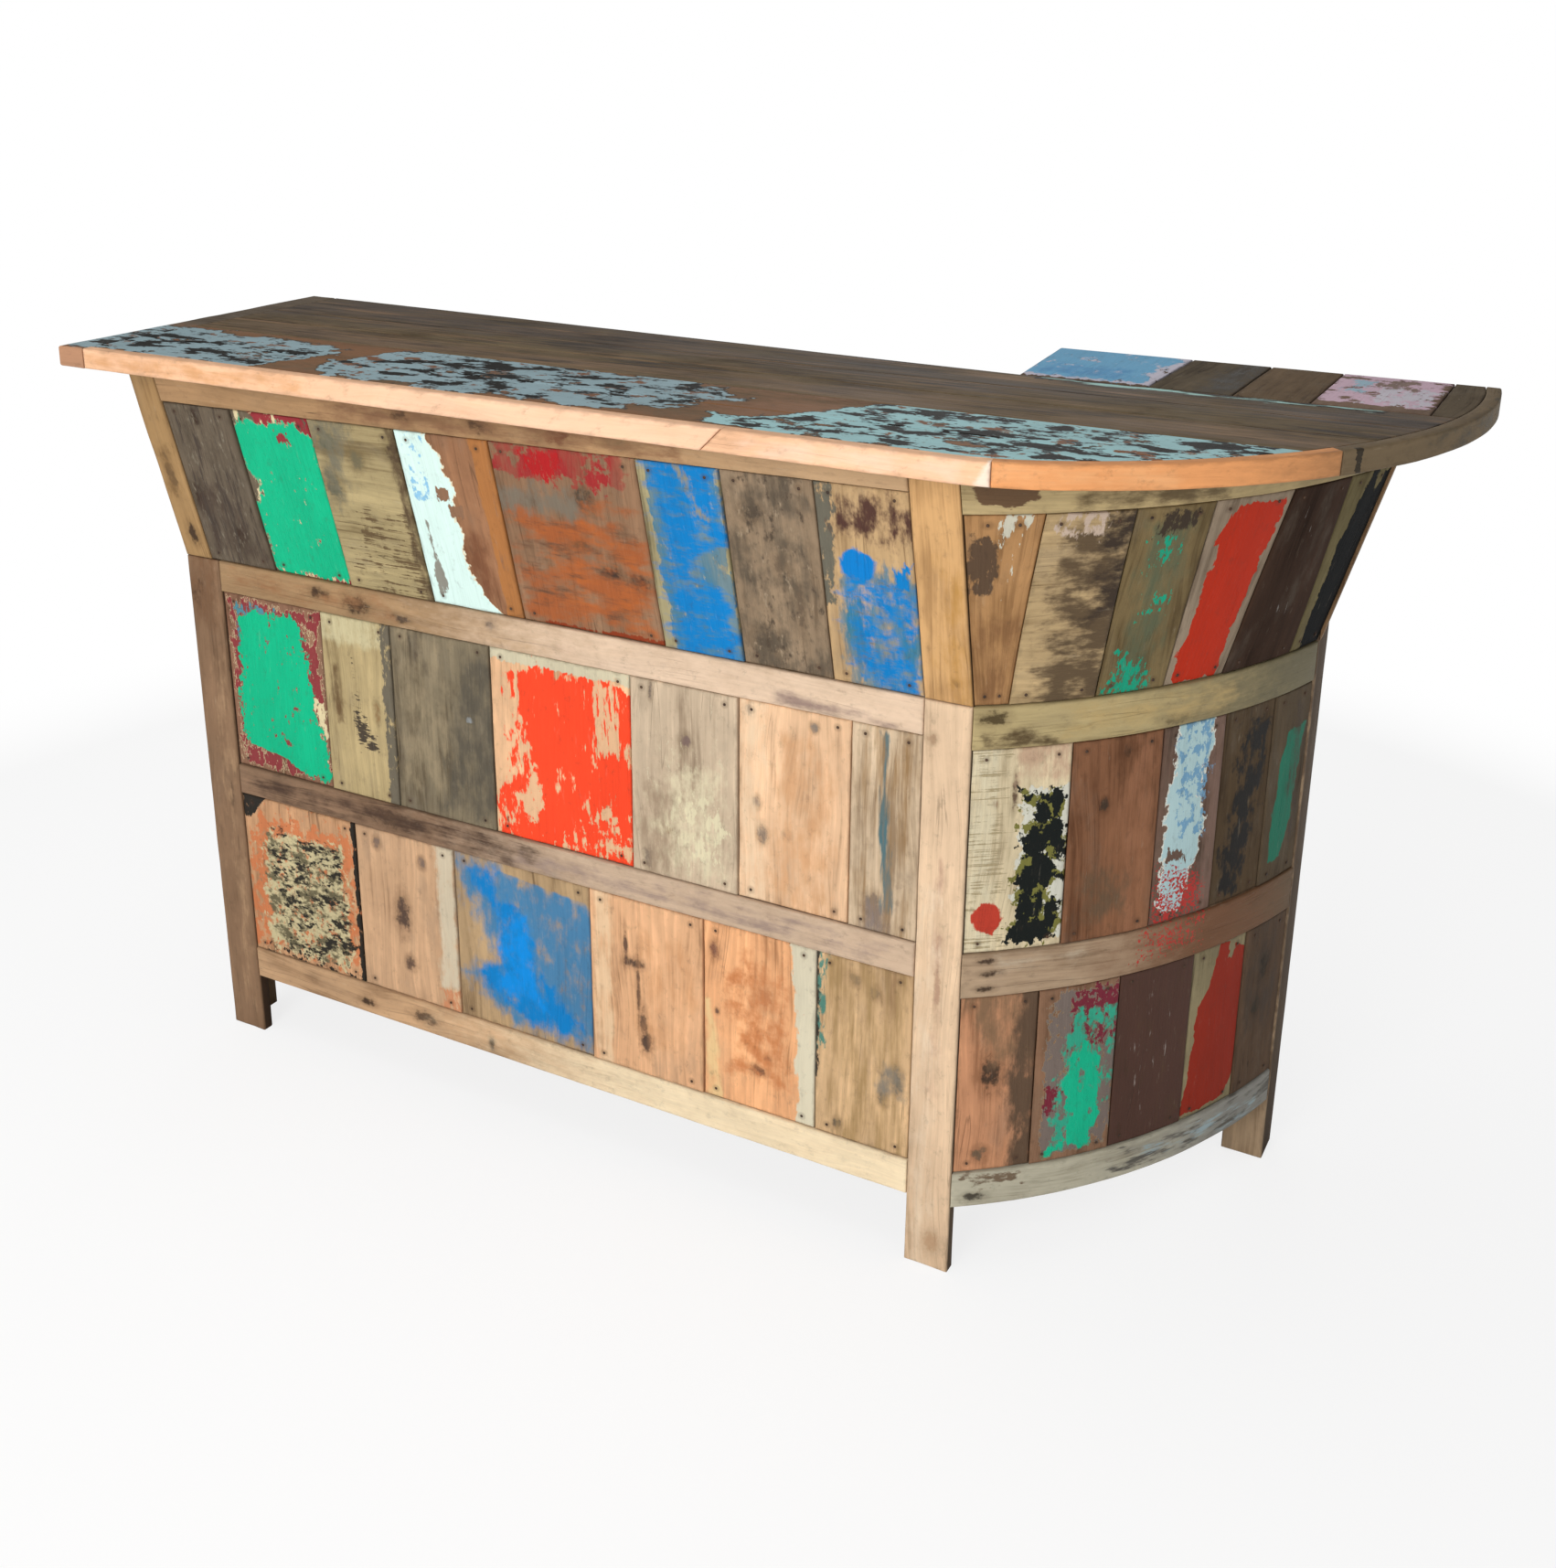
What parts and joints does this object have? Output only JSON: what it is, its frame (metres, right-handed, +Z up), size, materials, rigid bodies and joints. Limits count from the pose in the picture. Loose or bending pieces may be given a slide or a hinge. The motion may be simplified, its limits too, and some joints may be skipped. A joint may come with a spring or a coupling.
{
  "type": "bar counter",
  "caption": "Reclaimed-board bar counter with a straight plank front, a bowed right end, a flared upper row and an open shelved back under a banded top with a short return.",
  "frame": {"origin": "on the floor under the middle of the whole outline", "axes": "+X along the straight front towards the bowed end, +Y from the front to the serving side, +Z up"},
  "size_m": [1.7962, 0.685, 1.1],
  "materials": {
    "frame_wood": "worn reclaimed teak, waxed",
    "painted_planks": "reclaimed boards with remains of old paint, waxed",
    "painted_top": "flaking pale grey-blue paint under clear coat",
    "top_wood": "weathered boards under clear coat",
    "edge_wood": "fresh planed wood, oiled",
    "inner_wood": "plain sawn wood",
    "nails": "dark rusted steel"
  },
  "bodies": {
    "root": {"aprons": "inner_wood", "bow_bottom_rail": "frame_wood", "bow_knee_rail": "frame_wood", "bow_lower_staves": "painted_planks", "bow_middle_rail": "frame_wood", "bow_middle_staves": "painted_planks", "bow_ribs": "inner_wood", "bow_top_rail": "frame_wood", "bow_upper_staves": "painted_planks", "curve_edge_band": "edge_wood", "end_flare_wedge": "frame_wood", "end_front_stile": "frame_wood", "end_planks": "painted_planks", "end_rails": "frame_wood", "front_bottom_rail": "frame_wood", "front_edge_bands": "edge_wood", "front_knee_rail": "frame_wood", "front_left_flare_stile": "frame_wood", "front_left_leg": "frame_wood", "front_lower_plank_1": "painted_planks", "front_lower_plank_2": "painted_planks", "front_lower_plank_3": "painted_planks", "front_lower_plank_4": "painted_planks", "front_lower_plank_5": "painted_planks", "front_lower_plank_6": "painted_planks", "front_middle_plank_1": "painted_planks", "front_middle_plank_2": "painted_planks", "front_middle_plank_3": "painted_planks", "front_middle_plank_4": "painted_planks", "front_middle_plank_5": "painted_planks", "front_middle_plank_6": "painted_planks", "front_middle_plank_7": "painted_planks", "front_middle_rail": "frame_wood", "front_right_flare_stile": "frame_wood", "front_right_leg": "frame_wood", "front_top_rail": "frame_wood", "front_upper_plank_1": "painted_planks", "front_upper_plank_2": "painted_planks", "front_upper_plank_3": "painted_planks", "front_upper_plank_4": "painted_planks", "front_upper_plank_5": "painted_planks", "front_upper_plank_6": "painted_planks", "front_upper_plank_7": "painted_planks", "front_upper_plank_8": "painted_planks", "inner_corner_leg": "inner_wood", "left_edge_band": "edge_wood", "panel_battens": "inner_wood", "plank_nails": "nails", "rear_flare_cheek": "frame_wood", "rear_left_leg": "inner_wood", "rear_right_leg": "frame_wood", "return_boards": "top_wood", "return_leg": "inner_wood", "shelf_bearers": "inner_wood", "shelf_boards": "inner_wood", "tip_edge_band": "edge_wood", "top_bearers": "inner_wood", "top_front_boards": "painted_top", "top_rear_boards": "top_wood"}
  },
  "joints": []
}
